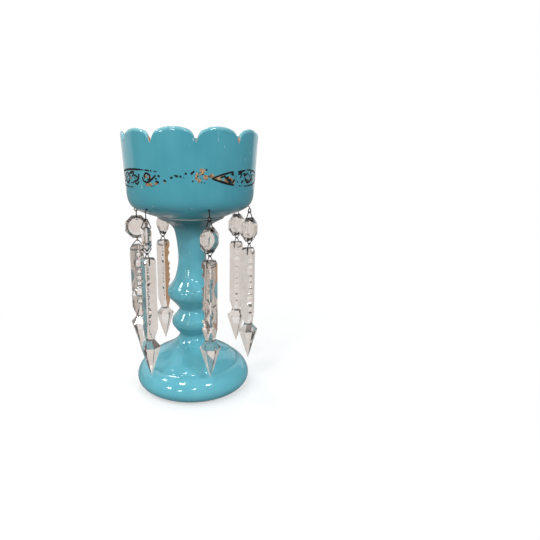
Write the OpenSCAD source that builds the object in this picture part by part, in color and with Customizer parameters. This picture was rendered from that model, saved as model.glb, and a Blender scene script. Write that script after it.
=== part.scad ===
// Mantel lustre: an opaline glass bowl on a hollow glass pedestal,
// hung all round with cut-glass drops on wire hooks.
// Millimetres, +Z up, origin on the table under the middle of the foot.

/* [Bowl] */
// Height of the bowl from its seat to the tops of the rim's lobes
bowl_h = 90.4; // [80:0.2:100]
// Outer radius at the tops of the rim's lobes
bowl_rim_r = 74; // [72:0.5:78]
// Outer radius where the straight wall ends below
bowl_low_r = 70.3; // [69:0.1:72]
// Height above the seat where the straight wall ends below
bowl_turn_h = 31.4; // [29:0.2:34]
// Radius of the flat seat under the bowl
bowl_seat_r = 37.5; // [36:0.5:40]
// Rise of the bowl's underside for each millimetre outwards at the seat
bowl_under_slope = 0.32; // [0.28:0.01:0.36]
// Thickness of the bowl's glass
bowl_wall = 4; // [3.2:0.1:4.6]
// Number of lobes round the rim
lobe_count = 10; // [8:2:12]
// Depth of the notches between the lobes
lobe_depth = 13; // [10:0.5:15]
// Share of that depth by which a lobe's top is round, before its ends fall steeply
lobe_crown = 0.32; // [0.24:0.02:0.5]
// Depth of the small flat on top of each lobe
lobe_flat = 0.2; // [0.1:0.05:0.3]
// Turn of the first lobe from the X axis
lobe_turn = 8.7; // [0:0.1:36]

/* [Pedestal] */
// Height of the pedestal from the table to its flange
pedestal_h = 199; // [195:0.5:205]
// Radius of the flange that carries the bowl
flange_r = 36.5; // [34:0.5:38]
// Thickness of the flange at its edge
flange_t = 1.6; // [1.2:0.1:2]
// Radius of the stem at its thinnest
stem_r = 15.3; // [14:0.1:17]
// Height of the stem's thinnest place
stem_z = 152; // [149:0.5:156]
// Radius of the upper knop
upper_knop_r = 28.4; // [26:0.2:30]
// Height of the upper knop's middle
upper_knop_z = 112; // [110:0.5:114]
// Height of the upper knop from neck to shoulder
upper_knop_h = 39; // [37:0.5:40]
// Radius of the shoulder over the upper knop
shoulder_r = 18.8; // [18:0.1:20]
// Radius of the neck between the knops
middle_neck_r = 15.4; // [14:0.1:17]
// Radius of the lower knop
lower_knop_r = 24; // [22:0.2:26]
// Height of the lower knop's middle
lower_knop_z = 76.5; // [75:0.5:78]
// Height of the lower knop from neck to neck
lower_knop_h = 31.5; // [30:0.5:33]
// Radius of the neck over the foot
foot_neck_r = 15.2; // [14:0.1:17]
// Height of the neck over the foot
foot_neck_z = 60.5; // [59:0.5:61]
// Largest radius of the foot
foot_r = 66; // [64:0.5:70]
// Height of the foot's largest radius
foot_bulge_z = 13; // [12:0.5:15]
// Outer radius of the ring that the foot rests on
foot_rest_r = 54; // [52:0.5:56]
// Width of the ring that the foot rests on
foot_rest_w = 8; // [6:0.5:9]
// Radius of the crease between the foot's roll and its dome
crease_r = 53; // [52:0.5:54]
// Height of that crease
crease_z = 29.8; // [29:0.2:31]
// Thickness of the pedestal's glass
pedestal_wall = 5; // [4:0.1:6]
// Thickness of the glass that closes the stem under the flange
stem_plug_t = 13; // [10:0.5:16]

/* [Cement] */
// Thickness of the cement bed between pedestal and bowl
cement_t = 0.6; // [0.4:0.1:1]
// Distance of the cement's edge inside the flange's edge
cement_inset = 0.3; // [0.2:0.1:2]

/* [Wires] */
// Radius of the wire
wire_r = 0.5; // [0.4:0.05:0.6]
// Radius of the bends at a wire's ends and corners
wire_bend_r = 1.8; // [1.6:0.1:2]
// Radius of the corners of a wire loop where it enters the glass
wire_corner_r = 1; // [0.8:0.1:1.2]
// Gap between linked wires at rest
link_gap = 0.3; // [0.25:0.05:0.35]
// Radius of the holes drilled in jewels and prisms
hole_r = 1.15; // [0.95:0.05:1.3]
// Gap between a wire and the wall of its hole where it carries
hole_gap = 0.3; // [0.25:0.05:0.4]
// Gap between a wire's legs and the glass that they straddle
leg_gap = 0.4; // [0.3:0.05:0.6]

/* [Hook pins] */
// Radial clearance of a pin's shank in the bowl's hole
pin_gap = 0.08; // [0.05:0.01:0.1]
// Gap between a pin's head and the glass inside the bowl
head_gap = 0.3; // [0.25:0.05:0.4]
// Radius of a pin's head
head_r = 1.8; // [1.4:0.1:2.2]
// Thickness of a pin's head
head_t = 0.9; // [0.6:0.1:1.2]
// Length of a pin's shank outside the glass before it bends down
pin_reach = 1.2; // [1:0.1:2]
// Radius of a pin's bend, at the middle of the wire
pin_bend_r = 2; // [1.5:0.1:2.5]
// Length of the upright wire between a pin's bend and its eye
pin_drop = 2.6; // [2.4:0.1:4]
// Radius of a pin's eye, at the middle of the wire
eye_r = 2.2; // [2:0.1:2.4]

/* [Jewels] */
// Height of a jewel across its flats
jewel_across = 26.5; // [24:0.5:28]
// Thickness of a jewel at its table
jewel_t = 10; // [8:0.2:12]
// Thickness of a jewel at its edge
jewel_edge_t = 1.6; // [1.2:0.1:2.4]
// Radius of a jewel's table
jewel_table_r = 6; // [5:0.1:7]
// Distance of a jewel's holes from its edge
jewel_hole_inset = 3.6; // [3:0.1:4.2]
// Length of the wire from a pin's eye down to a jewel's upper hole
jewel_wire_h = 9.7; // [9.2:0.1:11]
// Length of the wire from a jewel's lower hole down to the next link
lower_wire_h = 6.6; // [6.2:0.1:8]

/* [Prisms] */
// Length of a prism from its top to its point
prism_l = 129; // [124:0.5:132]
// Width of a prism's faces, before the edges are dulled
prism_side = 18; // [16:0.2:20]
// Width of the dulled edges
edge_flat = 1.6; // [1.2:0.1:2.2]
// Height of a prism's bevelled head
prism_head_h = 7.5; // [7.3:0.1:8]
// Size of the head's top as a part of the full section
prism_head_scale = 0.5; // [0.4:0.01:0.52]
// Depth of a prism's hole below its top
prism_hole_z = 6.2; // [5.8:0.1:6.3]
// Length of the wire from a prism's hole up to the next link
prism_wire_h = 11.2; // [11:0.1:12.5]
// Length of the taper from a prism's body to its neck
prism_taper_h = 10; // [8:0.5:12]
// Width of a prism's neck
prism_neck_w = 10.6; // [9:0.2:12]
// Height of the neck's straight part
prism_neck_h = 2.4; // [1.5:0.1:3.5]
// Height of the spear's shoulder
spear_shoulder_h = 7; // [5:0.2:8]
// Width of the spear across its corners
spear_w = 22.5; // [20:0.5:24]
// Length of the spear below its shoulder
spear_l = 34; // [30:0.5:38]
// Width of the spear's dulled point
spear_tip_w = 0.8; // [0.6:0.1:1.2]
// Length of the two large notches in a prism's ridge
large_notch_l = 13; // [11:0.2:13.4]
// Depth of the large notches
large_notch_depth = 4.5; // [3.6:0.1:4.8]
// Length of the notch in the middle of the ridge
middle_notch_l = 6.7; // [6:0.1:7]
// Depth of the middle notch
middle_notch_depth = 2.7; // [2.2:0.1:2.9]
// Length of the small notches beside the middle one
small_notch_l = 5.4; // [5:0.1:5.8]
// Depth of the small notches
small_notch_depth = 2.1; // [1.7:0.1:2.3]
// Length of the notches at the ridge's ends
end_notch_l = 6.8; // [6.2:0.1:7]
// Depth of the end notches
end_notch_depth = 2.8; // [2.2:0.1:2.9]
// Ridge left between two notches
notch_land = 1.2; // [0.8:0.1:1.4]

/* [Hidden] */
// Each drop, drilled, cut and wired by eye: the angle of its hole round the bowl,
// the ways that its jewel's face and its prism's ridge turn, the turn from that ridge to
// the prism's hole, and the lengths that its pin and its prism have over the usual ones.
DROPS = [
    [290, 320, 156, 90, 1.9, -2],
    [352, 316, 283, 145, -1.9, 1.9],
    [37, 314, 272, 150, -1, -0.7],
    [84, 84, 84, 90, 0, 0],
    [127, 34, 42, 90, -1, 0.6],
    [168, 284, 86, 90, -1.9, 0],
    [230, 190, 148, 150, 1.5, 1.7]
];
DROP_PIECES = ["hook_pin", "jewel_upper_wire", "jewel", "jewel_lower_wire", "prism_wire", "prism"];
$fn = 64;

curve_steps = 5;
bezier_steps = 20;
glass_blue = "#58b0c0";
crystal = "#d8dcdc";
dark_wire = "#3a3632";
plaster = "#d9d2c2";

function mix(a, b, t) = a + (b - a) * t;
function unit(v) = v / norm(v);
function reverse(list) = [for (i = [len(list) - 1 : -1 : 0]) list[i]];

// A smooth curve through a list of points, ends included
function curve_point(a, b, c, d, t) =
    0.5 * (2 * b + (c - a) * t + (2 * a - 5 * b + 4 * c - d) * t * t
        + (3 * b - a - 3 * c + d) * t * t * t);
function curve(points) = concat(
    [for (i = [0 : len(points) - 2], k = [0 : curve_steps - 1])
        curve_point(points[max(i - 1, 0)], points[i], points[i + 1],
            points[min(i + 2, len(points) - 1)], k / curve_steps)],
    [points[len(points) - 1]]
);

// The bowl's outer curve from the straight wall down to the seat
seat_z = pedestal_h + cement_t;
rim_z = seat_z + bowl_h;
turn_z = seat_z + bowl_turn_h;
wall_dir = unit([bowl_low_r - bowl_rim_r, turn_z - rim_z]);
under_dir = unit([1, bowl_under_slope]);
turn_pull = 0.64 * bowl_turn_h;
under_pull = 0.93 * (bowl_low_r - bowl_seat_r);
bowl_curve = [
    [bowl_low_r, turn_z],
    [bowl_low_r, turn_z] + turn_pull * wall_dir,
    [bowl_seat_r, seat_z] + under_pull * under_dir,
    [bowl_seat_r, seat_z]
];
function bezier(p, t) = p[0] * pow(1 - t, 3) + 3 * p[1] * t * pow(1 - t, 2)
    + 3 * p[2] * t * t * (1 - t) + p[3] * pow(t, 3);
function bezier_dir(p, t) = unit(
    (p[1] - p[0]) * pow(1 - t, 2) + 2 * (p[2] - p[1]) * t * (1 - t) + (p[3] - p[2]) * t * t);
function outward(dir) = [-dir[1], dir[0]];
function bowl_outer(t) = bezier(bowl_curve, t);
function bowl_normal(t) = outward(bezier_dir(bowl_curve, t));

// The hooks' holes go square through the bowl's lower turn
hole_t = 0.5;
hole_at = bowl_outer(hole_t);
hole_dir = bowl_normal(hole_t);
hole_tilt = atan2(-hole_dir[1], hole_dir[0]);
bend_turn = 90 - hole_tilt;
bend_start = hole_at + pin_reach * hole_dir;
bend_end = bend_start + pin_bend_r * [1 - cos(bend_turn), -sin(bend_turn)];

// A wire's straight legs are a touch thicker than its bends, and lap over them
leg_r = 1.02 * wire_r;
leg_lap = 0.1 * wire_r;
// A wire hangs off the middle of its hole, towards the side that carries
hole_play = hole_r - leg_r - hole_gap;

// Heights down a drop with a pin of the usual length, from the pin's eye to the prism
drop_r = bend_end[0];
eye_z = bend_end[1] - pin_drop - eye_r;
eye_low_z = eye_z - eye_r;
linked = 2 * wire_r + link_gap;
jewel_hole_r = jewel_across / 2 - jewel_hole_inset;
jewel_bar_top_z = eye_low_z + linked - jewel_wire_h;
jewel_z = jewel_bar_top_z - hole_play - jewel_hole_r;
jewel_bar_low_z = jewel_z - jewel_hole_r - hole_play;
lower_wire_z = jewel_bar_low_z - lower_wire_h;
prism_bar_z = lower_wire_z + linked - prism_wire_h;
prism_top_z = prism_bar_z - hole_play + prism_hole_z;

// Rings of points, each [height, points], joined side by side into a closed solid
module skin(rings) {
    n = len(rings[0][1]);
    points = [for (ring = rings, p = ring[1]) [p[0], p[1], ring[0]]];
    sides = [for (k = [0 : len(rings) - 2], i = [0 : n - 1], half = [0, 1])
        let (a = k * n + i, b = k * n + (i + 1) % n)
        half == 0 ? [a, b, b + n] : [a, b + n, a + n]];
    low = [for (i = [1 : n - 2]) [0, i + 1, i]];
    top = [for (i = [1 : n - 2]) [0, i, i + 1] + (len(rings) - 1) * n * [1, 1, 1]];
    polyhedron(points, concat(low, sides, top));
}
function corners(count, r, turn = 0) =
    [for (i = [0 : count - 1]) r * [cos(turn + 360 * i / count), sin(turn + 360 * i / count)]];

// A closed flat loop of wire in the XZ plane, with a round bend at each corner
module wire_loop(points, bends) {
    n = len(points);
    function at(i) = points[(i + n) % n];
    function half_angle(i) =
        acos(unit(at(i - 1) - at(i)) * unit(at(i + 1) - at(i))) / 2;
    function reach(i) = bends[(i + n) % n] / tan(half_angle((i + n) % n));
    rotate([90, 0, 0])
        for (i = [0 : n - 1]) {
            along = unit(at(i + 1) - at(i));
            start = at(i) + reach(i) * along;
            length = norm(at(i + 1) - at(i)) - reach(i) - reach(i + 1);
            turn = atan2(along[1], along[0]);
            translate([start[0], start[1], 0])
                rotate([0, 90, turn])
                    translate([0, 0, -leg_lap])
                        cylinder(r = leg_r, h = length + 2 * leg_lap);
            middle = start + bends[i] * [-along[1], along[0]];
            sweep = 180 - 2 * half_angle(i);
            translate([middle[0], middle[1], 0])
                rotate([0, 0, turn - 90 - sweep])
                    rotate_extrude(angle = sweep)
                        translate([bends[i], 0])
                            circle(r = wire_r);
        }
}

// A loop whose bar lies through a hole at z = 0 and whose bend is at z = height
module hole_wire(height, bar_half) {
    side = bar_half + wire_corner_r * 0.5;
    // the legs lean in to touch the bend, so the loop's corner lies above it
    bend_z = height - wire_bend_r;
    lean = atan2(side, bend_z) - asin(wire_bend_r / norm([side, bend_z]));
    peak = side / tan(lean);
    wire_loop(
        [[-side, 0], [side, 0], [0, peak]],
        [wire_corner_r, wire_corner_r, wire_bend_r]
    );
}

module at_drop(i) {
    rotate(DROPS[i][0])
        translate([drop_r, 0, -DROPS[i][4]])
            rotate(-DROPS[i][0])
                children();
}

module along_hole() {
    translate([hole_at[0], 0, hole_at[1]])
        rotate([0, 90 + hole_tilt, 0])
            children();
}

// The foot, the stem and its knops, from the resting ring up to the flange
function knop(z, h, r, below, above) = [
    [mix(below, r, 0.4), z - 0.32 * h],
    [mix(below, r, 0.9), z - 0.13 * h],
    [r, z],
    [mix(above, r, 0.9), z + 0.14 * h],
    [mix(above, r, 0.4), z + 0.31 * h]
];
function stem_points(thin) = concat(
    [[foot_neck_r - thin, foot_neck_z]],
    knop(lower_knop_z, lower_knop_h, lower_knop_r - thin, foot_neck_r - thin, middle_neck_r - thin),
    [[middle_neck_r - thin, lower_knop_z + 0.5 * lower_knop_h]],
    knop(upper_knop_z, upper_knop_h, upper_knop_r - thin, middle_neck_r - thin, shoulder_r - thin),
    [[shoulder_r - thin, upper_knop_z + 0.5 * upper_knop_h],
        [stem_r - thin, stem_z]]
);
roll_points = [
    [foot_rest_r, 0],
    [mix(foot_rest_r, foot_r, 0.75), 0.45 * foot_bulge_z],
    [foot_r, foot_bulge_z],
    [mix(crease_r, foot_r, 0.8), mix(crease_z, foot_bulge_z, 0.5)],
    [mix(crease_r, foot_r, 0.36), mix(crease_z, foot_bulge_z, 0.1)],
    [crease_r, crease_z]
];
dome_points = [
    [crease_r, crease_z],
    [mix(foot_neck_r, crease_r, 0.96), mix(crease_z, foot_neck_z, 0.1)],
    [mix(foot_neck_r, crease_r, 0.8), mix(crease_z, foot_neck_z, 0.25)],
    [mix(foot_neck_r, crease_r, 0.46), mix(crease_z, foot_neck_z, 0.48)],
    [mix(foot_neck_r, crease_r, 0.18), mix(crease_z, foot_neck_z, 0.7)]
];
flare_z = pedestal_h - flange_t;
flare_points = [
    [mix(stem_r, flange_r, 0.13), mix(stem_z, flare_z, 0.6)],
    [mix(stem_r, flange_r, 0.36), mix(stem_z, flare_z, 0.83)],
    [flange_r, flare_z]
];
hollow_points = concat(
    [[foot_rest_r - foot_rest_w, 0],
        [foot_r - foot_rest_w, foot_bulge_z],
        [crease_r - pedestal_wall, crease_z - pedestal_wall],
        [mix(foot_neck_r, crease_r, 0.46) - pedestal_wall,
            mix(crease_z, foot_neck_z, 0.48) - pedestal_wall]],
    stem_points(pedestal_wall),
    [[stem_r - pedestal_wall, mix(stem_z, pedestal_h - stem_plug_t, 0.7)],
        [0, pedestal_h - stem_plug_t]]
);

module pedestal() {
    outline = concat(
        curve(roll_points),
        curve(concat(dome_points, stem_points(0), flare_points)),
        [[flange_r, pedestal_h], [0, pedestal_h]],
        reverse(curve(hollow_points))
    );
    color(glass_blue) rotate_extrude() polygon(outline);
}

module cement_bed() {
    color(plaster)
        translate([0, 0, pedestal_h])
            cylinder(r = flange_r - cement_inset, h = cement_t);
}

module bowl_body() {
    top = [bowl_rim_r, rim_z];
    inside = outward(wall_dir) * bowl_wall;
    inner_top = top - inside + wall_dir * inside[1] / wall_dir[1];
    outer = [for (k = [0 : bezier_steps]) bowl_outer(k / bezier_steps)];
    inner = [for (k = [0 : bezier_steps])
        bowl_outer(k / bezier_steps) - bowl_wall * bowl_normal(k / bezier_steps)];
    floor_z = inner[bezier_steps][1];
    outline = concat([inner_top, top], outer, [[0, seat_z], [0, floor_z]], reverse(inner));
    rotate_extrude() polygon(outline);
}

// One notch between two lobes, which are nearly level on top and fall steeply at their ends
module rim_notch() {
    half = bowl_rim_r * sin(180 / lobe_count);
    crown_h = lobe_crown * lobe_depth;
    reach = half * (1 - sqrt(lobe_flat / crown_h));
    function fall(u) = crown_h * pow(u, 2) + (lobe_depth - crown_h) * pow(u, 12);
    function edge(y) = [y, -fall(1 - abs(y) / half)];
    steps = 12;
    crowding = 1.6;
    above = 2 * lobe_depth;
    outline = concat(
        [[reach, above], [-reach, above]],
        [for (k = [-steps : steps]) edge(reach * sign(k) * pow(abs(k) / steps, crowding))]
    );
    translate([bowl_rim_r / 2, 0, rim_z])
        rotate([90, 0, 90])
            linear_extrude(bowl_rim_r)
                polygon(outline);
}

module bowl() {
    hole_l = 4 * bowl_wall;
    color(glass_blue)
        difference() {
            bowl_body();
            for (k = [0 : lobe_count - 1])
                rotate(lobe_turn + 360 * (k + 0.5) / lobe_count)
                    rim_notch();
            for (drop = DROPS)
                rotate(drop[0])
                    along_hole()
                        cylinder(r = leg_r + pin_gap, h = hole_l, center = true);
        }
}

// A headed pin: it hangs in the bowl's hole, bends down and ends in an eye
module hook_pin(i) {
    shank_in = bowl_wall + head_gap;
    color(dark_wire) {
        rotate(DROPS[i][0]) {
            along_hole() {
                translate([0, 0, -shank_in - leg_lap])
                    cylinder(r = leg_r, h = shank_in + pin_reach + 2 * leg_lap);
                translate([0, 0, -shank_in - head_t])
                    cylinder(r = head_r, h = head_t);
            }
            translate([bend_end[0] - pin_bend_r, 0, bend_end[1]])
                rotate([90, 0, 0])
                    rotate_extrude(angle = bend_turn)
                        translate([pin_bend_r, 0])
                            circle(r = wire_r);
            translate([drop_r, 0, eye_z + eye_r - DROPS[i][4]])
                cylinder(r = leg_r, h = pin_drop + DROPS[i][4] + leg_lap);
        }
        at_drop(i)
            translate([0, 0, eye_z])
                rotate(DROPS[i][1] + 90)
                    rotate([90, 0, 0])
                        rotate_extrude()
                            translate([eye_r, 0])
                                circle(r = 1.1 * wire_r);
    }
}

// The jewel's thickness at its holes decides how wide its wires are
jewel_r = jewel_across / 2;
jewel_mid_r = mix(jewel_table_r, jewel_r, 0.62);
jewel_mid_t = mix(jewel_t, jewel_edge_t, 0.4);
jewel_hole_t = mix(jewel_t, jewel_mid_t, (jewel_hole_r - jewel_table_r) / (jewel_mid_r - jewel_table_r));
jewel_bar_half = jewel_hole_t / 2 + leg_gap + wire_r;

module jewel_upper_wire(i) {
    color(dark_wire)
        at_drop(i)
            translate([0, 0, jewel_bar_top_z])
                rotate(DROPS[i][1])
                    hole_wire(jewel_wire_h, jewel_bar_half);
}

module jewel_lower_wire(i) {
    color(dark_wire)
        at_drop(i)
            translate([0, 0, jewel_bar_low_z])
                rotate(DROPS[i][1])
                    rotate([180, 0, 0])
                        hole_wire(lower_wire_h, jewel_bar_half);
}

// An eight-sided cut jewel: two tables, ringed by pointed facets
module jewel(i) {
    eighth = 22.5;
    edge_corner_r = jewel_r / cos(eighth);
    table = corners(8, jewel_table_r, eighth);
    mid = corners(8, jewel_mid_r, 0);
    edge = corners(8, edge_corner_r, eighth);
    rings = [
        [-jewel_t / 2, table],
        [-jewel_mid_t / 2, mid],
        [-jewel_edge_t / 2, edge],
        [jewel_edge_t / 2, edge],
        [jewel_mid_t / 2, mid],
        [jewel_t / 2, table]
    ];
    color(crystal)
        at_drop(i)
            translate([0, 0, jewel_z])
                rotate([0, 90, DROPS[i][1]])
                    difference() {
                        skin(rings);
                        for (side = [-1, 1])
                            translate([side * jewel_hole_r, 0, 0])
                                cylinder(r = hole_r, h = 2 * jewel_t, center = true);
                    }
}

// A three-sided prism with dulled edges: the ridge points along +X
prism_in_r = prism_side / (2 * sqrt(3));
prism_ridge_r = 2 * prism_in_r - edge_flat * cos(30);
prism_body_l = prism_l - spear_l - spear_shoulder_h - prism_neck_h - prism_taper_h;
function prism_section(scale) = [for (k = [0 : 2], side = [-1, 1])
    let (c = cos(120 * k), s = sin(120 * k), x = prism_ridge_r, y = side * edge_flat / 2)
    scale * [c * x - s * y, s * x + c * y]];
prism_hole_half = prism_side / 3
    * mix(prism_head_scale, 1, prism_hole_z / prism_head_h);

module prism_wire(i) {
    color(dark_wire)
        at_drop(i)
            translate([0, 0, prism_bar_z])
                rotate(DROPS[i][2] + DROPS[i][3])
                    hole_wire(prism_wire_h, prism_hole_half + leg_gap + wire_r);
}

// The body narrows to a neck and ends in a six-sided spear
function spear_section(width) = corners(6, width / 2, -30);
module prism_blank(body_l) {
    neck_top = -body_l - prism_taper_h;
    neck_low = neck_top - prism_neck_h;
    shoulder = neck_low - spear_shoulder_h;
    skin([
        [shoulder - spear_l, spear_section(spear_tip_w)],
        [shoulder, spear_section(spear_w)],
        [neck_low, spear_section(prism_neck_w)],
        [neck_top, spear_section(prism_neck_w)],
        [-body_l, prism_section(1)],
        [-prism_head_h, prism_section(1)],
        [0, prism_section(prism_head_scale)]
    ]);
}

// A round notch across the ridge, cut by a wheel
module notch(z, length, depth) {
    wheel_r = (pow(length / 2, 2) + depth * depth) / (2 * depth);
    translate([prism_ridge_r - depth + wheel_r, 0, z])
        rotate([90, 0, 0])
            cylinder(r = wheel_r, h = prism_side, center = true);
}

// The notches lie in the same order from the ridge's middle up and down
module ridge_notches(middle_z) {
    small_at = (middle_notch_l + small_notch_l) / 2 + notch_land;
    large_at = small_at + (small_notch_l + large_notch_l) / 2 + notch_land;
    end_at = large_at + (large_notch_l + end_notch_l) / 2 + notch_land;
    notch(middle_z, middle_notch_l, middle_notch_depth);
    for (side = [-1, 1]) {
        notch(middle_z + side * small_at, small_notch_l, small_notch_depth);
        notch(middle_z + side * large_at, large_notch_l, large_notch_depth);
        notch(middle_z + side * end_at, end_notch_l, end_notch_depth);
    }
}

module prism(i) {
    body_l = prism_body_l + DROPS[i][5];
    color(crystal)
        at_drop(i)
            translate([0, 0, prism_top_z])
                rotate(DROPS[i][2])
                    difference() {
                        prism_blank(body_l);
                        translate([0, 0, -prism_hole_z])
                            rotate([90, 0, DROPS[i][3] - 90])
                                cylinder(r = hole_r, h = 2 * prism_side, center = true);
                        ridge_notches(-(body_l + prism_head_h) / 2);
                    }
}

pedestal();
cement_bed();
bowl();
for (i = [0 : len(DROPS) - 1]) {
    hook_pin(i);
    jewel_upper_wire(i);
    jewel(i);
    jewel_lower_wire(i);
    prism_wire(i);
    prism(i);
}
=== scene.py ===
import math

import bmesh
import bpy
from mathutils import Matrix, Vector


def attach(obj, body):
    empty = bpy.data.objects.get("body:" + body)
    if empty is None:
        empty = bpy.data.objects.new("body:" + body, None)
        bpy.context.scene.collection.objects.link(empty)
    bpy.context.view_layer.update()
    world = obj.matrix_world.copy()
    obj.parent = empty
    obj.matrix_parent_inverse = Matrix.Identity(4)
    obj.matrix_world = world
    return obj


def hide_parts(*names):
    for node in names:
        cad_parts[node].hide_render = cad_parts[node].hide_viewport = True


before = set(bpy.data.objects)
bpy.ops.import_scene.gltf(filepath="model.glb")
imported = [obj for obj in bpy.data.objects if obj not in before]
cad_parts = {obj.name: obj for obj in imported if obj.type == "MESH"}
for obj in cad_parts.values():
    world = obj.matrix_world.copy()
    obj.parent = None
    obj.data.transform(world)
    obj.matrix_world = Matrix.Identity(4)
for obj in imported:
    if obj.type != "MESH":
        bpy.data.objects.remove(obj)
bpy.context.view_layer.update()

# Sizes are millimetres, as in the part, and become metres when a mesh is made
MM = 0.001
# Points nearer than this are one point
MERGE = 0.002

# Bowl
SEAT_Z = 199.6
RIM_Z = 290.0
RIM_R = 74.0
TURN_Z = 231.0
TURN_R = 70.3
SEAT_R = 37.5
UNDER_SLOPE = 0.32
TURN_DROP = 0.64
TURN_REACH = 0.93
BOWL_WALL = 4.0
LIP_H = 3.6
LOBES = 10
LOBE_DEPTH = 15.5
LOBE_CROWN = 0.36
LOBE_END_POWER = 10
LOBE_TURN = 8.7
LOBED_H = 34.0
NOTCH_ROUND = 0.5
WALL_SLOPE = (RIM_R - TURN_R) / (RIM_Z - TURN_Z)

# Pedestal
PEDESTAL_H = 199.0
FLANGE_R = 36.5
FLANGE_T = 1.6
STEM_R = 15.3
STEM_Z = 152.0
PEDESTAL_WALL = 5.0
FOOT_WALL = 8.0
CAP_T = 13.0
REST_R = 54.0
FOOT_R = 66.0
FOOT_Z = 13.0
CREASE_R = 53.0
CREASE_Z = 29.8
NECK_R = 15.2
NECK_Z = 60.5
WAIST_R = 15.4
WAIST_Z = 92.25
SHOULDER_R = 18.8
SHOULDER_Z = 131.5
# Knops: the height of the middle, the height of the whole and the radius
LOWER_KNOP = (76.5, 31.5, 24.0)
UPPER_KNOP = (112.0, 39.0, 28.4)

# Drops: the angle of the hole, the ways that the jewel's face and the prism's ridge turn, the turn
# from that ridge to the prism's hole, and what its pin and its prism have over the usual lengths
DROPS = [
    (290, 320, 156, 90, 1.9, -2),
    (352, 316, 283, 145, -1.9, 1.9),
    (37, 314, 272, 150, -1, -0.7),
    (84, 84, 84, 90, 0, 0),
    (127, 34, 42, 90, -1, 0.6),
    (168, 284, 86, 90, -1.9, 0),
    (230, 190, 148, 150, 1.5, 1.7),
]
HOOK_HOLE_R = 64.323
HOOK_HOLE_Z = 211.265
HOOK_HOLE_WAY = (0.6879, -0.7258)
HOOK_BORE_R = 1.4
DROP_R = 65.697
JEWEL_Z = 183.628
PRISM_TOP_Z = 162.998
PRISM_BAR_Z = 157.138
DRILL_R = 1.15
CUTTER_L = 40.0
WIRE_R = 0.5

# Prism
PRISM_BODY_L = 75.6
PRISM_HEAD_H = 7.5
HEAD_BEVEL_H = 3.6
HEAD_BEVEL_SCALE = 0.74
PRISM_TAPER_H = 10.0
PRISM_NECK_H = 2.4
PRISM_NECK_R = 5.3
PRISM_HOLE_Z = 6.2
RIDGE_R = 9.007
DULLED_EDGE = 1.6
SPEAR_SHOULDER_H = 7.0
SPEAR_R = 11.25
SPEAR_L = 34.0
SPEAR_TIP_R = 0.4
PRISM_BEVEL = 0.22
PRISM_DARK_BEYOND = 5.0
# Notches from the ridge's middle outwards: length and depth
NOTCHES = [(6.7, 2.7), (5.4, 2.1), (13.0, 4.5), (6.8, 2.8)]
NOTCH_LAND = 1.2

# Jewel
JEWEL_R = 13.25
JEWEL_TABLE_R = 7.4
JEWEL_T = 10.0
JEWEL_EDGE_T = 1.6
JEWEL_HOLE_R = 9.65
JEWEL_DRILL_R = 1.4
JEWEL_BEVEL = 0.2

# Painted band: its height and radius, and the azimuths of its rosettes
BAND_Z = 242.2
BAND_R = 71.0
ROSETTES = (-78.5, 11.5, 86.0, 160.5)

# Colours of the room
WHITE = (1, 1, 1, 1)
ROOM_PALE = (0.86, 0.82, 0.79, 1)
ROOM_DARK = (0.10, 0.082, 0.070, 1)


def mix(a, b, t):
    return a + (b - a) * t


def unit(v):
    return v / v.length


# Node trees: values as Python expressions


class Field:
    """A node's output. Arithmetic on it adds Math nodes."""

    def __init__(self, tree, socket):
        self.tree = tree
        self.socket = socket

    def math(self, operation, *others):
        return self.tree.add("ShaderNodeMath", {"operation": operation}, [self, *others])

    def after(self, operation, first):
        return self.tree.add("ShaderNodeMath", {"operation": operation}, [first, self])

    def __add__(self, other):
        return self.math("ADD", other)

    def __radd__(self, other):
        return self.after("ADD", other)

    def __sub__(self, other):
        return self.math("SUBTRACT", other)

    def __rsub__(self, other):
        return self.after("SUBTRACT", other)

    def __mul__(self, other):
        return self.math("MULTIPLY", other)

    def __rmul__(self, other):
        return self.after("MULTIPLY", other)

    def __truediv__(self, other):
        return self.math("DIVIDE", other)

    def __rtruediv__(self, other):
        return self.after("DIVIDE", other)

    def __pow__(self, other):
        return self.math("POWER", other)

    def sibling(self, output):
        """Another output of the same node."""
        return Field(self.tree, self.socket.node.outputs[output])

    def step(self, low, high):
        """Smooth rise from 0 at low to 1 at high."""
        settings = {"interpolation_type": "SMOOTHSTEP"}
        return self.tree.add("ShaderNodeMapRange", settings, {0: self, 1: low, 2: high})

    def clamp(self):
        return self.tree.add("ShaderNodeClamp", None, [self])


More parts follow.
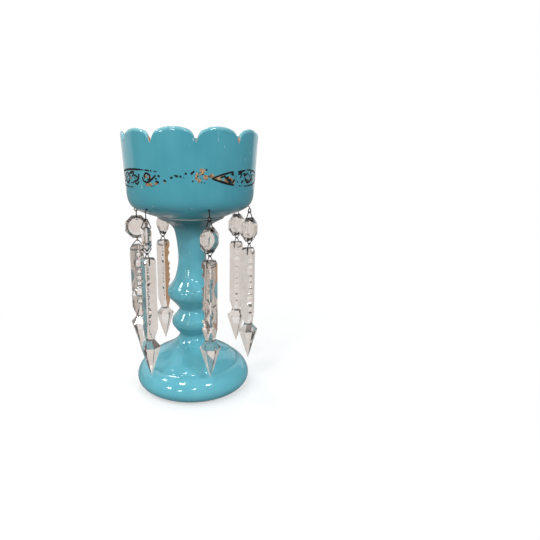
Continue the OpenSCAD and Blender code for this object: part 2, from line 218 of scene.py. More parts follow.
class Tree:
    """A node tree that adds each node with its settings and inputs in one call."""

    def __init__(self, node_tree):
        self.nodes = node_tree.nodes
        self.links = node_tree.links

    def add(self, kind, settings=None, inputs=None, output=0):
        node = self.nodes.new(kind)
        for name, value in (settings or {}).items():
            setattr(node, name, value)
        pairs = enumerate(inputs) if isinstance(inputs, list) else (inputs or {}).items()
        for key, value in pairs:
            if isinstance(value, Field):
                self.links.new(value.socket, node.inputs[key])
            elif value is not None:
                node.inputs[key].default_value = value
        return Field(self, node.outputs[output]) if node.outputs else None

    def blend(self, factor, a, b):
        """Mix of two colours."""
        return self.add("ShaderNodeMix", {"data_type": "RGBA"}, {0: factor, 6: a, 7: b}, 2)

    def noise(self, place, scale, detail=2.0, roughness=0.5):
        inputs = {"Vector": place, "Scale": scale, "Detail": detail, "Roughness": roughness}
        return self.add("ShaderNodeTexNoise", None, inputs)

    def stretch(self, place, x, y, z):
        return self.add("ShaderNodeVectorMath", {"operation": "MULTIPLY"}, [place, (x, y, z)])

    def attribute(self, name, kind="FLOAT"):
        """A named attribute in a Geometry Nodes tree."""
        return self.add("GeometryNodeInputNamedAttribute", {"data_type": kind}, {"Name": name})

    def dressed(self, shape, material, faces=True):
        """A geometry with its material set on the chosen faces."""
        inputs = {"Geometry": shape, "Selection": faces, "Material": material}
        return self.add("GeometryNodeSetMaterial", None, inputs)

    def tube(self, lines, radius, sides):
        """A round tube along each line of a mesh."""
        curve = self.add("GeometryNodeMeshToCurve", None, {"Mesh": lines})
        inputs = {"Resolution": sides, "Radius": 1.0}
        ring = self.add("GeometryNodeCurvePrimitiveCircle", {"mode": "RADIUS"}, inputs)
        inputs = {"Curve": curve, "Profile Curve": ring, "Scale": radius, "Fill Caps": True}
        return self.add("GeometryNodeCurveToMesh", None, inputs)

    def glow(self, kind, colour, strength=1.0):
        """An Emission or Background shader."""
        return self.add("ShaderNode" + kind, None, {"Color": colour, "Strength": strength})

    def mix_shader(self, factor, a, b):
        return self.add("ShaderNodeMixShader", None, [factor, a, b])


def new_material(name):
    material = bpy.data.materials.new(name)
    material.use_nodes = True
    tree = Tree(material.node_tree)
    tree.nodes.clear()
    place = tree.add("ShaderNodeTexCoord", None, None, "Object")
    return material, tree, place


def surface(tree, **inputs):
    """The principled shader with its inputs, joined to the material's output."""
    named = {key.replace("_", " "): value for key, value in inputs.items()}
    shader = tree.add("ShaderNodeBsdfPrincipled", None, named)
    tree.add("ShaderNodeOutputMaterial", None, {"Surface": shader})


def bump(tree, height, strength, distance):
    return tree.add("ShaderNodeBump", None, {"Strength": strength, "Distance": distance, "Height": height})


# Materials


def opaline_glass(name, deep, light):
    """Opaque turquoise glass: cloudy, scratched, painted shade under the bowl, lip paler (partly painted
    highlight) and gilt.
    """
    material, tree, place = new_material(name)
    cloud = tree.noise(place, 20, 3)
    streak = tree.noise(tree.stretch(place, 120, 120, 9), 1, 2)
    tone = (0.8 * cloud + 0.2 * streak).step(0.3, 0.7)
    glass = tree.blend(tone, deep, light)
    lip = tree.add("ShaderNodeAttribute", {"attribute_name": "lip"}, None, "Fac")
    # Paler at the lip: partly chipped, paler rim glass and partly a painted highlight on the rounded edge.
    chips_and_sheen = tree.noise(place, 240, 3)
    glass = tree.blend(lip * (0.22 + 0.4 * chips_and_sheen), glass, (0.36, 0.60, 0.63, 1))
    scratch = tree.noise(tree.stretch(place, 520, 520, 110), 1, 2).step(0.68, 0.76)
    rubbed = tree.noise(place, 34, 2).step(0.46, 0.62)
    speck = tree.noise(place, 430, 2).step(0.74, 0.80)
    wear = (scratch * rubbed * 0.6 + speck * 0.55).clamp()
    glass = tree.blend(wear, glass, (0.46, 0.60, 0.62, 1))
    # Painted shade: glass rising from 172 to 195 mm high, ending just below the bowl's seat, is blended
    # toward deep teal as the bowl's shadow on the flare.
    height = tree.add("ShaderNodeSeparateXYZ", None, [place], "Z")
    grime_and_shade = height.step(0.172, 0.195) * (1 - height.step(0.1991, 0.1995))
    glass = tree.blend(0.8 * grime_and_shade, glass, (0.014, 0.072, 0.082, 1))
    gilt = tree.add("ShaderNodeAttribute", {"attribute_name": "gilt"}, None, "Fac")
    flakes = tree.noise(place, 420, 3, 0.6)
    gold = (gilt * (0.35 + flakes)).step(0.45, 0.62)
    colour = tree.blend(gold, glass, (0.40, 0.20, 0.11, 1))
    smear = tree.noise(tree.stretch(place, 1, 1, 0.4), 60, 4)
    wave = tree.noise(place, 40, 2)
    surface(
        tree,
        Base_Color=colour,
        Roughness=0.05 + 0.08 * smear + 0.3 * gold + 0.2 * wear,
        IOR=1.5,
        Normal=bump(tree, wave, 0.1, 0.002),
    )
    return material


def cut_crystal():
    """Lead glass with a faint warm tint, a little dusty."""
    material, tree, place = new_material("cut_crystal")
    film = tree.noise(place, 90, 3)
    colour = tree.blend(film.step(0.3, 0.7), (0.80, 0.745, 0.71, 1), (0.87, 0.83, 0.80, 1))
    surface(
        tree,
        Base_Color=colour,
        Roughness=0.008 + 0.05 * film.step(0.55, 0.8),
        IOR=1.56,
        Transmission_Weight=0.95,
    )
    return material


def drilled_wall():
    """The ground wall of a drilled hole, near black as dirt and as painted shade in the hole."""
    material, tree, place = new_material("drilled_wall")
    grime_and_shade = tree.noise(place, 1500, 3)
    colour = tree.blend(grime_and_shade, (0.012, 0.010, 0.009, 1), (0.055, 0.045, 0.038, 1))
    surface(tree, Base_Color=colour, Roughness=0.7, Normal=bump(tree, grime_and_shade, 0.4, 0.0002))
    return material


def black_enamel():
    """Black painted line, a little rubbed."""
    material, tree, place = new_material("black_enamel")
    rubbed = tree.noise(place, 800, 4, 0.6).step(0.5, 0.8)
    colour = tree.blend(rubbed, (0.008, 0.008, 0.008, 1), (0.030, 0.040, 0.042, 1))
    surface(
        tree,
        Base_Color=colour,
        Roughness=0.55 + 0.3 * rubbed,
        Specular_IOR_Level=0.2,
        Normal=bump(tree, rubbed, 0.3, 0.0002),
    )
    return material


def worn_gilding():
    """Copper-coloured gilding, rubbed pale in places."""
    material, tree, place = new_material("worn_gilding")
    rubbed = tree.noise(place, 500, 4, 0.6).step(0.42, 0.66)
    colour = tree.blend(rubbed, (0.26, 0.135, 0.065, 1), (0.52, 0.345, 0.20, 1))
    grain = tree.noise(place, 1600, 3)
    surface(
        tree,
        Base_Color=colour,
        Roughness=0.34 + 0.25 * rubbed,
        Metallic=0.3 - 0.2 * rubbed,
        Normal=bump(tree, grain, 0.35, 0.0002),
    )
    return material


def dark_wire():
    """Blackened iron wire with traces of rust."""
    material, tree, place = new_material("dark_wire")
    rust = tree.noise(place, 700, 4, 0.6).step(0.52, 0.72)
    colour = tree.blend(rust, (0.018, 0.016, 0.015, 1), (0.11, 0.055, 0.03, 1))
    rough = 0.38 + 0.35 * rust
    grain = tree.noise(place, 2400, 2)
    surface(
        tree,
        Base_Color=colour,
        Roughness=rough,
        Metallic=0.75 - 0.5 * rust,
        Normal=bump(tree, grain, 0.25, 0.0002),
    )
    return material


def brass_wire():
    """Brass wire, browned where it was handled."""
    material, tree, place = new_material("brass_wire")
    tarnish = tree.noise(place, 600, 4, 0.6).step(0.42, 0.68)
    colour = tree.blend(tarnish, (0.52, 0.30, 0.085, 1), (0.12, 0.06, 0.025, 1))
    surface(tree, Base_Color=colour, Roughness=0.25 + 0.35 * tarnish, Metallic=0.9)
    return material


def plaster_cement():
    """Grey cement, gritty."""
    material, tree, place = new_material("plaster_cement")
    grain = tree.noise(place, 900, 5, 0.65)
    colour = tree.blend(grain, (0.44, 0.47, 0.44, 1), (0.66, 0.68, 0.65, 1))
    surface(tree, Base_Color=colour, Roughness=0.85, Normal=bump(tree, grain, 0.5, 0.0004))
    return material


OPALINE = opaline_glass("opaline_glass", (0.052, 0.260, 0.322, 1), (0.070, 0.300, 0.366, 1))
# The pedestal's copy is paler than the bowl's, partly as painted light on the stem, knops and dome.
PALER_OPALINE = opaline_glass("paler_opaline", (0.098, 0.368, 0.446, 1), (0.128, 0.414, 0.494, 1))
CRYSTAL = cut_crystal()
DRILLED = drilled_wall()
ENAMEL = black_enamel()
GILDING = worn_gilding()
IRON = dark_wire()
BRASS = brass_wire()
CEMENT = plaster_cement()


# Meshes from rules


def show(name, data):
    """A new object in the scene."""
    thing = bpy.data.objects.new(name, data)
    bpy.context.collection.objects.link(thing)
    return thing


def new_object(name, points, edges=()):
    mesh = bpy.data.meshes.new(name)
    mesh.from_pydata([Vector(p) * MM for p in points], list(edges), [])
    return show(name, mesh)


def set_attribute(thing, name, kind, values):
    attribute = thing.data.attributes.new(name, kind, "POINT")
    field = "vector" if kind == "FLOAT_VECTOR" else "value"
    for item, value in zip(attribute.data, values):
        setattr(item, field, value)


def profile_object(name, points, marks=None):
    """A polyline of (radius, height) points as an object for a Geometry Nodes tree."""
    edges = [(i, i + 1) for i in range(len(points) - 1)]
    thing = new_object(name, [(r, 0, z) for r, z in points], edges)
    set_attribute(thing, "lip", "FLOAT", marks or [0.0] * len(points))
    return thing


def new_tree(name, **inputs):
    """A Geometry Nodes group with inputs listed by kind. Returns it, its Tree and its inputs' Fields."""
    group = bpy.data.node_groups.new(name, "GeometryNodeTree")
    group.interface.new_socket("Geometry", in_out="INPUT", socket_type="NodeSocketGeometry")
    for kind, labels in inputs.items():
        for label in labels:
            group.interface.new_socket(label, in_out="INPUT", socket_type="NodeSocket" + kind)
    group.interface.new_socket("Geometry", in_out="OUTPUT", socket_type="NodeSocketGeometry")
    tree = Tree(group)
    start = tree.nodes.new("NodeGroupInput")
    fields = {socket.name: Field(tree, socket) for socket in start.outputs if socket.name}
    return group, tree, fields


def close_tree(tree, geometry, material, faces=True):
    whole = tree.add("GeometryNodeRealizeInstances", None, {"Geometry": geometry})
    tree.add("NodeGroupOutput", None, [tree.dressed(whole, material, faces)])


def applied(thing, modifier):
    """The mesh that a modifier makes. The modifier is taken off again."""
    shown = thing.evaluated_get(bpy.context.evaluated_depsgraph_get())
    mesh = bpy.data.meshes.new_from_object(shown)
    thing.modifiers.remove(modifier)
    return mesh


def grow(thing, group, values, name):
    """Runs a Geometry Nodes group on an object and returns its result as a plain mesh object."""
    modifier = thing.modifiers.new("grow", "NODES")
    modifier.node_group = group
    for item in group.interface.items_tree:
        if item.in_out == "INPUT" and item.name in values:
            modifier[item.identifier] = values[item.name]
    mesh = applied(thing, modifier)
    mesh.name = name
    return show(name, mesh)


def tidy(thing, sharp_angle=32):
    """Merges doubles, turns faces outwards and marks sharp edges."""
    mesh = thing.data
    shape = bmesh.new()
    shape.from_mesh(mesh)
    bmesh.ops.remove_doubles(shape, verts=shape.verts, dist=MERGE * MM)
    bmesh.ops.recalc_face_normals(shape, faces=shape.faces)
    limit = math.radians(sharp_angle)
    for face in shape.faces:
        face.smooth = True
    for edge in shape.edges:
        edge.smooth = len(edge.link_faces) == 2 and edge.calc_face_angle(0) < limit
    shape.to_mesh(mesh)
    shape.free()


def drop_object(thing):
    mesh = thing.data
    bpy.data.objects.remove(thing)
    bpy.data.meshes.remove(mesh)


def turned_group():
    """Turns a profile round the Z axis and cuts round lobes into its rim."""
    group, tree, given = new_tree(
        "turned_glass",
        Int=["Rows", "Turns"],
        Float=[
            "Lobes", "Lobe depth", "Lobe turn", "Lobed height",
            "Rim height", "Rim radius", "Wall slope", "Notch round",
        ],
        Material=["Material"],
    )
    columns = given["Turns"] + 1
    grid = tree.add("GeometryNodeMeshGrid", None, {"Vertices X": columns, "Vertices Y": given["Rows"]})
    index = tree.add("GeometryNodeInputIndex")
    column = (index / given["Rows"]).math("FLOOR")
    row = index - column * given["Rows"]

    def on_row(value, kind):
        """A value of the profile's point in this row."""
        inputs = {"Geometry": given["Geometry"], "Value": value, "Index": row}
        return tree.add("GeometryNodeSampleIndex", {"data_type": kind}, inputs)

    at = on_row(tree.add("GeometryNodeInputPosition"), "FLOAT_VECTOR")
    lip = on_row(tree.attribute("lip"), "FLOAT")
    radius = tree.add("ShaderNodeSeparateXYZ", None, [at], "X")
    height = radius.sibling("Z")

    angle = given["Lobe turn"] + column * (2 * math.pi) / given["Turns"]
    pitch = (2 * math.pi) / given["Lobes"]
    across = ((angle - given["Lobe turn"]) / pitch + 0.5).math("FRACT") - 0.5
    half = given["Rim radius"] * (pitch / 2).math("SINE")
    aside = given["Rim radius"] * (across.math("ABSOLUTE") * pitch).math("SINE")
    from_notch = half - aside
    rounded = (from_notch ** 2 + given["Notch round"] ** 2).math("SQRT")
    out_by = ((half - rounded) / half).math("MAXIMUM", 0.0)
    fall = LOBE_CROWN * out_by ** 2 + (1 - LOBE_CROWN) * out_by ** LOBE_END_POWER
    cut = given["Lobe depth"] * fall
    share = ((height - given["Rim height"]) / given["Lobed height"] + 1).clamp()
    lowered = cut * share
    new_r = radius - lowered * given["Wall slope"]
    inputs = {"X": new_r * angle.math("COSINE"), "Y": new_r * angle.math("SINE"), "Z": height - lowered}
    place = tree.add("ShaderNodeCombineXYZ", None, inputs)
    shape = tree.add("GeometryNodeSetPosition", None, {"Geometry": grid, "Position": place})
    near = 1 - from_notch.step(0.5 * MM, 4.5 * MM)
    settings = {"data_type": "FLOAT", "domain": "POINT"}
    for name, value in (("lip", lip), ("gilt", lip * near)):
        inputs = {"Geometry": shape, "Name": name, "Value": value}
        shape = tree.add("GeometryNodeStoreNamedAttribute", settings, inputs)
    shape = tree.add("GeometryNodeMergeByDistance", None, {"Geometry": shape, "Distance": 0.001 * MM})
    close_tree(tree, shape, given["Material"])
    return group


TURNED = turned_group()


def turned_piece(name, points, turns, material, marks=None, lobe_depth=0.001):
    profile = profile_object(name + "_profile", points, marks)
    values = {
        "Rows": len(points),
        "Turns": turns,
        "Lobes": float(LOBES),
        "Lobe depth": lobe_depth * MM,
        "Lobe turn": math.radians(LOBE_TURN),
        "Rim height": RIM_Z * MM,
        "Rim radius": RIM_R * MM,
        "Lobed height": LOBED_H * MM,
        "Wall slope": WALL_SLOPE,
        "Notch round": NOTCH_ROUND * MM,
        "Material": material,
    }
    piece = grow(profile, TURNED, values, name)
    drop_object(profile)
    tidy(piece)
    return piece


def bezier(p, t):
    s = 1 - t
    return p[0] * s ** 3 + p[1] * 3 * t * s ** 2 + p[2] * 3 * t * t * s + p[3] * t ** 3


def bezier_dir(p, t):
    s = 1 - t
    return unit((p[1] - p[0]) * s ** 2 + (p[2] - p[1]) * 2 * t * s + (p[3] - p[2]) * t ** 2)


def smooth_curve(points, gap):
    """Points about gap apart on a smooth curve through a list of points, ends included."""
    out = []
    last = len(points) - 1
    for i in range(last):
        a = points[max(i - 1, 0)]
        b = points[i]
        c = points[i + 1]
        d = points[min(i + 2, last)]
        steps = max(2, round((c - b).length / gap))
        for k in range(steps):
            t = k / steps
            bend = (2 * a - 5 * b + 4 * c - d) * t ** 2 + (3 * b - a - 3 * c + d) * t ** 3
            out.append(0.5 * (2 * b + (c - a) * t + bend))
    out.append(points[-1])
    return out


def point(r, z):
    return Vector((r, z))


def bowl_profile():
    """The bowl from the middle of its seat, up the outside, over the lip and down to its floor."""
    wall_dir = unit(point(TURN_R - RIM_R, TURN_Z - RIM_Z))
    under_dir = unit(point(1, UNDER_SLOPE))
    turn = [
        point(TURN_R, TURN_Z),
        point(TURN_R, TURN_Z) + wall_dir * TURN_DROP * (TURN_Z - SEAT_Z),
        point(SEAT_R, SEAT_Z) + under_dir * TURN_REACH * (TURN_R - SEAT_R),
        point(SEAT_R, SEAT_Z),
    ]
    steps = 36
    outer = []
    inner = []
    for k in range(steps + 1):
        t = 1 - k / steps
        along = bezier_dir(turn, t)
        outward = point(-along.y, along.x)
        outer.append(bezier(turn, t))
        inner.append(bezier(turn, t) - outward * BOWL_WALL)
    wall_out = point(-wall_dir.y, wall_dir.x)
    lip_r = BOWL_WALL / 2
    lip_at = point(RIM_R, RIM_Z) - wall_out * lip_r + wall_dir * LIP_H
    rows = 26
    wall = [mix(point(TURN_R, TURN_Z), lip_at + wall_out * lip_r, k / rows) for k in range(1, rows)]
    inner_wall = [p - wall_out * BOWL_WALL for p in reversed(wall)]
    lip = []
    lip_steps = 14
    for k in range(lip_steps + 1):
        turn_by = math.pi * k / lip_steps
        lip.append(lip_at + wall_out * lip_r * math.cos(turn_by) - wall_dir * LIP_H * math.sin(turn_by))
    points = [point(0, SEAT_Z), point(SEAT_R * 0.5, SEAT_Z)]
    points += outer + wall
    marks = [0.0] * len(points)
    points += lip
    marks += [math.sin(math.pi * k / lip_steps) ** 0.6 for k in range(lip_steps + 1)]
    tail = inner_wall + list(reversed(inner))
    tail += [point(SEAT_R * 0.5, tail[-1].y), point(0, tail[-1].y)]
    points += tail
    marks += [0.0] * len(tail)
    return points, marks


def knop(z, h, full_r, thin, below, above):
    r = full_r - thin
    return [
        point(mix(below, r, 0.4), z - 0.32 * h),
        point(mix(below, r, 0.9), z - 0.13 * h),
        point(r, z),
        point(mix(above, r, 0.9), z + 0.14 * h),
        point(mix(above, r, 0.4), z + 0.31 * h),
    ]


def stem_points(thin):
    """Neck, lower knop, waist, upper knop, shoulder and stem, drawn in by the glass's thickness."""
    neck = NECK_R - thin
    waist = WAIST_R - thin
    shoulder = SHOULDER_R - thin
    points = [point(neck, NECK_Z)]
    points += knop(*LOWER_KNOP, thin, neck, waist)
    points.append(point(waist, WAIST_Z))
    points += knop(*UPPER_KNOP, thin, waist, shoulder)
    points.append(point(shoulder, SHOULDER_Z))
    return points + [point(STEM_R - thin, STEM_Z)]


def pedestal_profile():
    """The pedestal from the middle of its flange, down the outside, round the foot and up its hollow."""
    flare_z = PEDESTAL_H - FLANGE_T
    hollow_z = PEDESTAL_H - CAP_T

    def on_roll(out, down):
        return point(mix(CREASE_R, FOOT_R, out), mix(CREASE_Z, FOOT_Z, down))

    def on_dome(out, up):
        return point(mix(NECK_R, CREASE_R, out), mix(CREASE_Z, NECK_Z, up))

    def on_flare(out, up):
        return point(mix(STEM_R, FLANGE_R, out), mix(STEM_Z, flare_z, up))

    roll = [point(REST_R, 0), point(mix(REST_R, FOOT_R, 0.75), 0.45 * FOOT_Z), point(FOOT_R, FOOT_Z)]
    roll += [on_roll(0.8, 0.5), on_roll(0.36, 0.1), on_roll(0, 0)]
    dome = [on_roll(0, 0), on_dome(0.96, 0.1), on_dome(0.8, 0.25), on_dome(0.46, 0.48), on_dome(0.18, 0.7)]
    flare = [on_flare(0.13, 0.6), on_flare(0.36, 0.83), on_flare(1, 1)]
    inwards = point(PEDESTAL_WALL, PEDESTAL_WALL)
    hollow = [
        point(REST_R - FOOT_WALL, 0),
        point(FOOT_R - FOOT_WALL, FOOT_Z),
        on_roll(0, 0) - inwards,
        on_dome(0.46, 0.48) - inwards,
    ]
    hollow += stem_points(PEDESTAL_WALL)
    hollow += [point(STEM_R - PEDESTAL_WALL, mix(STEM_Z, hollow_z, 0.7)), point(0, hollow_z)]
    outside = smooth_curve(roll, 1.8)[:-1] + smooth_curve(dome + stem_points(0) + flare, 1.8)
    inside = smooth_curve(hollow, 5)
    return [point(0, PEDESTAL_H), point(FLANGE_R, PEDESTAL_H)] + outside[::-1] + inside


# Cut and drilled glass


def cut_marks(name, rows):
    """Points that say where a cylinder cuts: each row is its middle, its axis and its radius."""
    thing = new_object(name, [row[0] for row in rows])
    set_attribute(thing, "axis", "FLOAT_VECTOR", [row[1] for row in rows])
    set_attribute(thing, "radius", "FLOAT", [row[2] * MM for row in rows])
    return thing


def cutters(tree, marks, length, sides, rings):
    """A cylinder on each mark, along the mark's axis."""
    points = tree.add("GeometryNodeObjectInfo", None, {"Object": marks}, "Geometry")
    axis = tree.attribute("axis", "FLOAT_VECTOR")
    turn = tree.add("FunctionNodeAlignRotationToVector", {"axis": "Z"}, {"Vector": axis})
    radius = tree.attribute("radius")
    size = tree.add("ShaderNodeCombineXYZ", None, [radius, radius, length])
    inputs = {"Vertices": sides, "Side Segments": rings, "Radius": 1.0, "Depth": 1.0}
    wheel = tree.add("GeometryNodeMeshCylinder", None, inputs)
    inputs = {"Points": points, "Instance": wheel, "Rotation": turn, "Scale": size}
    made = tree.add("GeometryNodeInstanceOnPoints", None, inputs)
    return tree.add("GeometryNodeRealizeInstances", None, {"Geometry": made})


def cut_glass_group():
    """Wheels notches into a solid, drills it, darkens the drilled walls and hangs it in its place."""
    group, tree, given = new_tree(
        "cut_glass",
        Object=["Notches", "Holes"],
        Float=["Cutter length", "Dark beyond", "Turn"],
        Vector=["Place"],
        Material=["Material", "Hole material"],
    )
    settings = {"operation": "DIFFERENCE", "solver": "EXACT"}
    shape = tree.dressed(given["Geometry"], given["Material"])
    wheels = tree.dressed(cutters(tree, given["Notches"], given["Cutter length"], 56, 1), given["Material"])
    shape = tree.add("GeometryNodeMeshBoolean", settings, {"Mesh 1": shape, "Mesh 2": wheels})
    drills = tree.dressed(cutters(tree, given["Holes"], given["Cutter length"], 28, 80), given["Material"])
    x = tree.add("ShaderNodeSeparateXYZ", None, [tree.add("GeometryNodeInputPosition")], "X")
    from_axis = (x ** 2 + x.sibling("Y") ** 2).math("SQRT")
    # Drilled walls farther from the axis than Dark beyond take the near-black hole material: dirt and
    # painted shade.
    mouth = from_axis.math("GREATER_THAN", given["Dark beyond"])
    drills = tree.dressed(drills, given["Hole material"], mouth)
    shape = tree.add("GeometryNodeMeshBoolean", settings, {"Mesh 1": shape, "Mesh 2": drills})
    turn = tree.add("ShaderNodeCombineXYZ", None, {"Z": given["Turn"]})
    inputs = {"Geometry": shape, "Translation": given["Place"], "Rotation": turn}
    shape = tree.add("GeometryNodeTransform", None, inputs)
    drilled = tree.add("GeometryNodeMaterialSelection", None, {"Material": given["Hole material"]})
    close_tree(tree, shape, given["Material"], 1 - drilled)
    return group


CUT_GLASS = cut_glass_group()


def cut_piece(blank, name, notches, holes, material, dark_beyond=0.0, turn=0.0, place=(0, 0, 0)):
    """A blank with its notches and holes, turned about Z and hung in its place."""
    notch_marks = cut_marks(name + "_notches", notches)
    hole_marks = cut_marks(name + "_holes", holes)
    values = {
        "Notches": notch_marks,
        "Holes": hole_marks,
        "Cutter length": CUTTER_L * MM,
        "Dark beyond": dark_beyond * MM,
        "Turn": math.radians(turn),
        "Place": Vector(place) * MM,
        "Material": material,
        "Hole material": DRILLED,
    }
    piece = grow(blank, CUT_GLASS, values, name)
    for thing in (blank, notch_marks, hole_marks):
        drop_object(thing)
    return piece


def around(angle, r, z):
    a = math.radians(angle)
    return Vector((r * math.cos(a), r * math.sin(a), z))


# Bowl and pedestal

bowl_points, bowl_marks = bowl_profile()
bowl = turned_piece("bowl_blank", bowl_points, LOBES * 48, OPALINE, bowl_marks, LOBE_DEPTH)
hook_holes = []
for drop in DROPS:
    bore = around(drop[0], HOOK_HOLE_WAY[0], HOOK_HOLE_WAY[1])
    hook_holes.append((around(drop[0], HOOK_HOLE_R, HOOK_HOLE_Z), bore, HOOK_BORE_R))
bowl = cut_piece(bowl, "opaline_bowl", [], hook_holes, OPALINE)
tidy(bowl)
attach(bowl, "stand")
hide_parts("bowl")

pedestal = turned_piece("opaline_pedestal", pedestal_profile(), 160, PALER_OPALINE)
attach(pedestal, "stand")
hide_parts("pedestal")


# The cement bed swells out of the joint and a little over the flange's edge
cement_profile = [
    point(0, PEDESTAL_H),
    point(FLANGE_R - 0.02, PEDESTAL_H),
    point(FLANGE_R + 0.02, PEDESTAL_H - 0.5),
    point(FLANGE_R + 0.8, PEDESTAL_H - 0.4),
    point(FLANGE_R + 1.35, PEDESTAL_H - 0.1),
    point(FLANGE_R + 1.3, SEAT_Z - 0.1),
    point(SEAT_R - 0.1, SEAT_Z - 0.01),
    point(0, SEAT_Z - 0.01),
]
cement = turned_piece("cement_bead", cement_profile, 160, CEMENT)
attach(cement, "stand")
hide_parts("cement_bed")


# Prisms and jewels


def skin_object(name, rings):
    """A closed solid through rings of points, from the lowest ring up."""
    shape = bmesh.new()
    made = [[shape.verts.new(Vector(p) * MM) for p in ring] for ring in rings]
    count = len(rings[0])
    for low, high in zip(made, made[1:]):
        for i in range(count):
            j = (i + 1) % count
            shape.faces.new([low[i], low[j], high[j], high[i]])
    shape.faces.new(reversed(made[0]))
    shape.faces.new(made[-1])
    bmesh.ops.triangulate(shape, faces=shape.faces)
    bmesh.ops.recalc_face_normals(shape, faces=shape.faces)
    mesh = bpy.data.meshes.new(name)
    shape.to_mesh(mesh)
    shape.free()
    return show(name, mesh)


def polygon(count, r, turn):
    angles = [math.radians(turn + 360 * i / count) for i in range(count)]
    return [(r * math.cos(a), r * math.sin(a)) for a in angles]


def prism_section(scale):
    """A triangle with dulled edges and its ridge along +X."""
    out = []
    for k in range(3):
        c = math.cos(math.radians(120 * k))
        s = math.sin(math.radians(120 * k))
        for side in (-1, 1):
            y = side * DULLED_EDGE / 2
            out.append((scale * (c * RIDGE_R - s * y), scale * (s * RIDGE_R + c * y)))
    return out


def level(section, z):
    return [(x, y, z) for x, y in section]


def prism_blank(body_l):
    neck_top = -body_l - PRISM_TAPER_H
    neck_low = neck_top - PRISM_NECK_H
    shoulder = neck_low - SPEAR_SHOULDER_H
    rings = [
        level(polygon(6, SPEAR_TIP_R, -30), shoulder - SPEAR_L),
        level(polygon(6, SPEAR_R, -30), shoulder),
        level(polygon(6, PRISM_NECK_R, -30), neck_low),
        level(polygon(6, PRISM_NECK_R, -30), neck_top),
        level(prism_section(1), -body_l),
        level(prism_section(1), -HEAD_BEVEL_H),
        level(prism_section(HEAD_BEVEL_SCALE), 0),
    ]
    return skin_object("prism_blank", rings)


def ridge_notches(body_l):
    """The wheel's cuts in a ridge, in the same order from its middle up and down."""
    middle = -(body_l + PRISM_HEAD_H) / 2
    rows = []
    away = 0.0
    last_half = None
    for length, depth in NOTCHES:
        if last_half is not None:
            away += last_half + NOTCH_LAND + length / 2
        last_half = length / 2
        wheel_r = (last_half ** 2 + depth ** 2) / (2 * depth)
        for side in ((-1, 1) if away else (1,)):
            rows.append(((RIDGE_R - depth + wheel_r, 0, middle + side * away), (0, 1, 0), wheel_r))
    return rows


def jewel_blank():
    """An octagon with a table and eight bevels on each face, and its thickness along Y."""
    eighth = 22.5
    corner = 1 / math.cos(math.radians(eighth))
    half = [
        (JEWEL_EDGE_T / 2, polygon(8, JEWEL_R * corner, eighth)),
        (JEWEL_T / 2, polygon(8, JEWEL_TABLE_R * corner, eighth)),
    ]
    levels = [(-t, section) for t, section in reversed(half)] + half
    rings = [[(-b, t, a) for a, b in section] for t, section in levels]
    return skin_object("jewel_blank", rings)


def facet(thing, bevel_mm):
    """Joins flat triangles into facets and dulls the edges between them."""
    mesh = thing.data
    shape = bmesh.new()
    shape.from_mesh(mesh)
    bmesh.ops.remove_doubles(shape, verts=shape.verts, dist=MERGE * MM)
    bmesh.ops.dissolve_limit(
        shape,
        angle_limit=math.radians(0.6),
        verts=shape.verts,
        edges=shape.edges,
        delimit={"MATERIAL"},
    )
    bmesh.ops.recalc_face_normals(shape, faces=shape.faces)
    shape.to_mesh(mesh)
    shape.free()
    modifier = thing.modifiers.new("dulled_edges", "BEVEL")
    modifier.width = bevel_mm * MM
    modifier.segments = 2
    modifier.limit_method = "ANGLE"
    modifier.angle_limit = math.radians(16)
    modifier.use_clamp_overlap = True
    thing.data = applied(thing, modifier)
    bpy.data.meshes.remove(mesh)


def hang_drop(number, hole_angle, face_angle, ridge_angle, hole_turn, pin_more, prism_more):
    body_l = PRISM_BODY_L + prism_more
    drilled = math.radians(hole_turn)
    hole = ((0, 0, -PRISM_HOLE_Z), (math.cos(drilled), math.sin(drilled), 0), DRILL_R)
    place = around(hole_angle, DROP_R, PRISM_TOP_Z - pin_more)
    name = f"cut_prism_{number}"
    blank = prism_blank(body_l)
    notches = ridge_notches(body_l)
    prism = cut_piece(blank, name, notches, [hole], CRYSTAL, PRISM_DARK_BEYOND, ridge_angle, place)
    facet(prism, PRISM_BEVEL)
    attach(prism, f"prism_link_{number}")
    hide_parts(f"prism_{number}")
    holes = [((0, 0, side * JEWEL_HOLE_R), (0, 1, 0), JEWEL_DRILL_R) for side in (-1, 1)]
    place = around(hole_angle, DROP_R, JEWEL_Z - pin_more)
    jewel = cut_piece(jewel_blank(), f"cut_jewel_{number}", [], holes, CRYSTAL, 0.0, face_angle - 90, place)
    facet(jewel, JEWEL_BEVEL)
    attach(jewel, f"jewel_link_{number}")
    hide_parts(f"jewel_{number}")


for number, drop in enumerate(DROPS, 1):
    hang_drop(number, *drop)


# Prism wires


def bent_wire_group():
    """Makes a bent line into a wire, a little uneven."""
    group, tree, given = new_tree("bent_wire", Float=["Radius", "Unevenness"], Material=["Material"])
    inputs = {"Vector": tree.add("GeometryNodeInputPosition"), "Scale": 180.0, "Detail": 1.0}
    noise = tree.add("ShaderNodeTexNoise", None, inputs, "Color")
    off = tree.add("ShaderNodeVectorMath", {"operation": "SUBTRACT"}, [noise, (0.5, 0.5, 0.5)])
    inputs = {"Vector": off, "Scale": given["Unevenness"]}
    off = tree.add("ShaderNodeVectorMath", {"operation": "SCALE"}, inputs)
    line = tree.add("GeometryNodeSetPosition", None, {"Geometry": given["Geometry"], "Offset": off})
    close_tree(tree, tree.tube(line, given["Radius"], 12), given["Material"])
    return group


BENT_WIRE = bent_wire_group()


